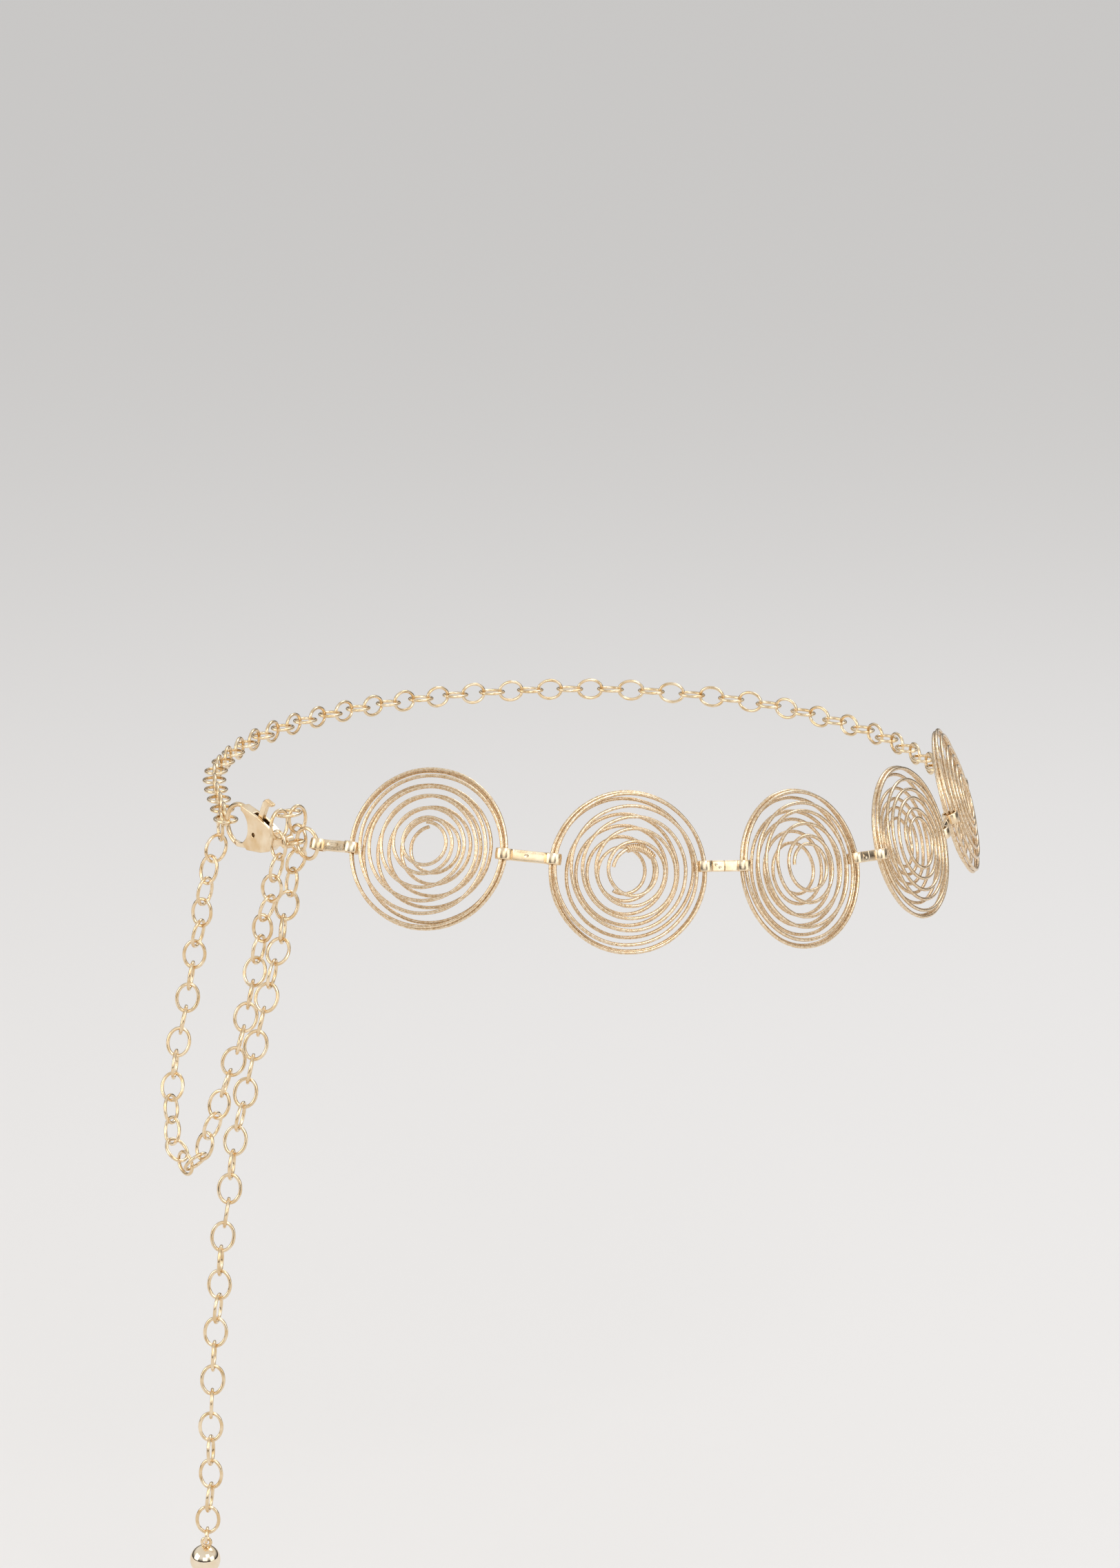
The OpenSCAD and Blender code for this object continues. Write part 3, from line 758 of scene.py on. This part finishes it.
def make_jump_ring(name, node, diameter, thickness, slit_way):
    """A jump ring bent shut, with its slit where slit_way points."""
    own = own_frame(cad_triangles(node))
    normal = own.col[2].to_3d()
    x = square_to(slit_way, normal)
    y = normal.cross(x)
    r = (diameter - thickness) / 2
    gap = SLIT / r
    turns = [gap / 2 + (FULL_TURN - gap) * k / RING_STEPS for k in range(RING_STEPS + 1)]
    points = [own.translation + r * (math.cos(a) * x + math.sin(a) * y) for a in turns]
    ring = grown(name, wire, path_mesh(points), gold_links, Thickness=thickness * MM,
                 Unevenness=0.0, Wave=1.0, Sides=RING_SIDES)
    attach(ring, "chain")
    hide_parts(node)


make_links("waist_links", "back_chain")
make_links("hanging_links", "tail_chain")
make_jump_ring("large_end_ring", "end_link", END_LINK_D, RING_WIRE, -UP)
make_jump_ring("clasp_tail_ring", "clasp_ring", RING_D, RING_WIRE, -UP)
make_jump_ring("ball_jump_ring", "ball_ring", BALL_RING_D, BALL_WIRE, Vector((1, 0, 0)))


# Clasp

CAST_GRAIN = 0.1  # the size of the casting's surface mesh
WELD = 0.001
BODY_ROUNDS, GATE_ROUNDS = 6, 4  # how often each casting's edges are eased
RIVET_EDGE = 0.12
RIVET_SUNK = 0.2  # how far below a cheek's face a rivet's head ends
RIVET_STEPS = 32


def cast_copy(name, node, rounds):
    """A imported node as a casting: its edges and inner corners are rounded a little."""
    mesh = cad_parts[node].data.copy()
    mesh.materials.clear()
    shape = bmesh.new()
    shape.from_mesh(mesh)
    bmesh.ops.remove_doubles(shape, verts=shape.verts, dist=WELD * MM)
    shape.to_mesh(mesh)
    shape.free()
    made = new_object(name, mesh)
    fine = made.modifiers.new("fine", "REMESH")
    fine.mode = "VOXEL"
    fine.voxel_size = CAST_GRAIN * MM
    fine.use_smooth_shade = True
    rounded = made.modifiers.new("rounded", "SMOOTH")
    rounded.factor = 0.5
    rounded.iterations = rounds
    made.data = settled(made)
    made.data.materials.append(gold_casting)
    smooth(made.data)
    return made


def make_castings():
    """The clasp's body and its gate."""
    body = cast_copy("clasp_casting", "clasp_body", BODY_ROUNDS)
    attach(body, "chain")
    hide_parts("clasp_body")
    gate = cast_copy("clasp_gate", "clasp_lever", GATE_ROUNDS)
    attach(gate, "lever")
    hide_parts("clasp_lever")


def make_rivet():
    """The gate's rivet, its two heads a little domed and set a little below the cheeks."""
    own = own_frame(cad_triangles("clasp_pin"))
    axis = own.col[0].to_3d()
    side = own.col[1].to_3d()
    place = frame_of(side, axis.cross(side), axis, own.translation)
    r, face = PIN_D / 2, CLASP_T / 2 - RIVET_SUNK
    head = [(0, face), (r * 0.5, face - 0.02), (r - RIVET_EDGE, face - 0.06),
            (r, face - 0.06 - RIVET_EDGE)]
    outline = [(x, -z) for x, z in head] + [(x, z) for x, z in reversed(head)]
    mesh = turned("rivet", outline, RIVET_STEPS)
    mesh.transform(place)
    mesh.transform(Matrix.Scale(MM, 4))
    # The rivet's dark brown is painted shade.
    mesh.materials.append(rivet_painted_shade)
    rivet = new_object("lever_rivet", mesh)
    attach(rivet, "chain")
    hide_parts("clasp_pin")


make_castings()
make_rivet()


# Ball

BALL_SEAM = 0.05  # depth of the seam
BALL_SEAM_HALF = 0.03  # half the seam's width, in radians
BALL_RINGS, BALL_STEPS = 96, 64
EYE_TURN_STEPS = 48


def ball_outline(turn):
    """The ball's outline at a turn from its foot: a shallow seam runs round the middle."""
    seam = BALL_SEAM * max(0, 1 - abs(turn - math.pi / 2) / BALL_SEAM_HALF)
    r = BALL_D / 2 - seam
    return max(0, r * math.sin(turn)), -r * math.cos(turn)


def make_ball():
    """A hollow ball pressed from two cups, with a wire eye let into its top."""
    ring = own_frame(cad_triangles("ball_ring"))
    run = own_frame(cad_triangles("ball")).col[0].to_3d()
    if run.z > 0:
        run = -run
    normal = square_to(ring.col[2].to_3d(), run)
    to_eye = (BALL_RING_D - BALL_WIRE) / 2 + BALL_EYE_R - BALL_WIRE - LINK_GAP
    eye = ring.translation + to_eye * run
    centre = eye + (BALL_EYE_R + BALL_WIRE / 2 - BALL_EYE_SUNK + BALL_D / 2) * run
    outline = [ball_outline(math.pi * k / BALL_RINGS) for k in range(BALL_RINGS + 1)]
    mesh = turned("ball", outline, BALL_STEPS)
    mesh.transform(frame_of(normal, (-run).cross(normal), -run, centre))
    mesh.transform(Matrix.Scale(MM, 4))
    mesh.materials.append(gold_ball)
    ball = new_object("ball_drop", mesh)
    turns = [FULL_TURN * k / EYE_TURN_STEPS for k in range(EYE_TURN_STEPS + 1)]
    points = [eye + BALL_EYE_R * (math.cos(a) * run + math.sin(a) * normal) for a in turns]
    loop = grown("ball_eye", wire, path_mesh(points), gold_links, Thickness=BALL_WIRE * MM,
                 Unevenness=0.0, Wave=1.0, Sides=RING_SIDES)
    for piece, slot in ((ball, "ball"), (loop, "link")):
        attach(piece, "chain")
        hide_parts("ball")


make_ball()


# Studio. Its sizes and places are in metres.

FLOOR_HALF = 40
FLOOR_DROP = 0.02  # below the lowest point of the part
FLOOR_COLOUR = "#E6E4E2"

HORIZON = "#1C1815"
ZENITH = "#FFFFFF"
WALL = "#D2D1D0"
SKY_STRENGTH = 0.8
DARK_BELOW, PALE_ABOVE = 0.04, 0.48  # how far up a ray points, as a share of its length

# Each light: name, place, target, size, watts and colour.
LIGHTS = [
    ("key", (-1.1, -1.1, 1.3), (-0.05, 0, -0.02), (0.8, 0.8), 7, "#FFFFFF"),
    ("fill", (-1.1, 1.3, 0.5), (-0.05, 0, -0.05), (1.2, 1.1), 8, "#FFF8F0"),
    ("side", (-0.4, -1.8, 0.35), (-0.05, 0, -0.02), (1.2, 1.0), 5, "#FFFFFF"),
    ("front", (-2.3, -0.9, 0.75), (0, 0, 0), (1.6, 1.2), 6, "#FFFFFF"),
    ("rim", (0.9, -0.3, 1.2), (0, 0, 0), (0.8, 0.6), 4, "#F4F7FF"),
]

# The camera, found from the photograph: its frame, focal length and optical centre in pixels.
FRAME_W, FRAME_H = 1624, 2274
FOCAL_PX = 6262.8
CENTRE_PX = (849.3, 1136.65)
CAMERA_PLACE = Vector((-1213.9, -430.9, 294.6)) * MM


def make_floor():
    """A matt pale floor under the part."""
    mesh = bpy.data.meshes.new("floor")
    height = cad_box[0].z - FLOOR_DROP
    corners = [(x * FLOOR_HALF, y * FLOOR_HALF, height)
               for x, y in ((-1, -1), (1, -1), (1, 1), (-1, 1))]
    mesh.from_pydata(corners, [], [(0, 1, 2, 3)])
    material = bpy.data.materials.new("matt_pale_floor")
    material.use_nodes = True
    shader = material.node_tree.nodes["Principled BSDF"]
    shader.inputs["Base Color"].default_value = linear(FLOOR_COLOUR)
    shader.inputs["Roughness"].default_value = 0.9
    mesh.materials.append(material)
    new_object("floor", mesh)


def make_world():
    """A pale sky that darkens towards the horizon, so that the metal has darks to reflect. The
    camera sees a plain pale wall in its place."""
    world = bpy.data.worlds.new("studio")
    scene.world = world
    world.use_nodes = True
    tree = world.node_tree
    back = tree.nodes["Background"]
    way = add(tree, "ShaderNodeTexCoord").outputs["Generated"]
    height = add(tree, "ShaderNodeSeparateXYZ", {"Vector": way}).outputs["Z"]
    climb = add(tree, "ShaderNodeMapRange",
                {"Value": height, "From Min": DARK_BELOW, "From Max": PALE_ABOVE},
                interpolation_type="SMOOTHSTEP")
    sky = add(tree, "ShaderNodeMix",
              {0: climb.outputs[0], 6: linear(HORIZON), 7: linear(ZENITH)}, data_type="RGBA")
    tree.links.new(sky.outputs[2], back.inputs["Color"])
    back.inputs["Strength"].default_value = SKY_STRENGTH
    wall = add(tree, "ShaderNodeBackground", {"Color": linear(WALL), "Strength": 1.0})
    seen = add(tree, "ShaderNodeLightPath").outputs["Is Camera Ray"]
    both = add(tree, "ShaderNodeMixShader", {0: seen, 1: back.outputs[0], 2: wall.outputs[0]})
    tree.links.new(both.outputs[0], tree.nodes["World Output"].inputs["Surface"])


def make_light(name, place, target, size, power, colour):
    """A soft oblong light, which the camera doesn't see."""
    data = bpy.data.lights.new(name, "AREA")
    data.shape = "RECTANGLE"
    data.size, data.size_y = size
    data.energy = power
    data.color = linear(colour)[:3]
    lamp = new_object(name, data)
    lamp.location = place
    lamp.visible_camera = False
    lamp.rotation_euler = (Vector(target) - Vector(place)).to_track_quat("-Z", "Y").to_euler()


def make_camera():
    """The camera at the photograph's place, looking at the origin."""
    data = bpy.data.cameras.new("camera")
    data.sensor_width = 36
    data.lens = data.sensor_width * FOCAL_PX / FRAME_H
    data.shift_x = (FRAME_W / 2 - CENTRE_PX[0]) / FRAME_H
    data.shift_y = (CENTRE_PX[1] - FRAME_H / 2) / FRAME_H
    data.clip_start, data.clip_end = 0.05, 60
    camera = new_object("camera", data)
    camera.location = CAMERA_PLACE
    camera.rotation_euler = (-CAMERA_PLACE).to_track_quat("-Z", "Y").to_euler()
    scene.camera = camera


make_floor()
make_world()
for light in LIGHTS:
    make_light(*light)
make_camera()
scene.view_settings.view_transform = "Standard"
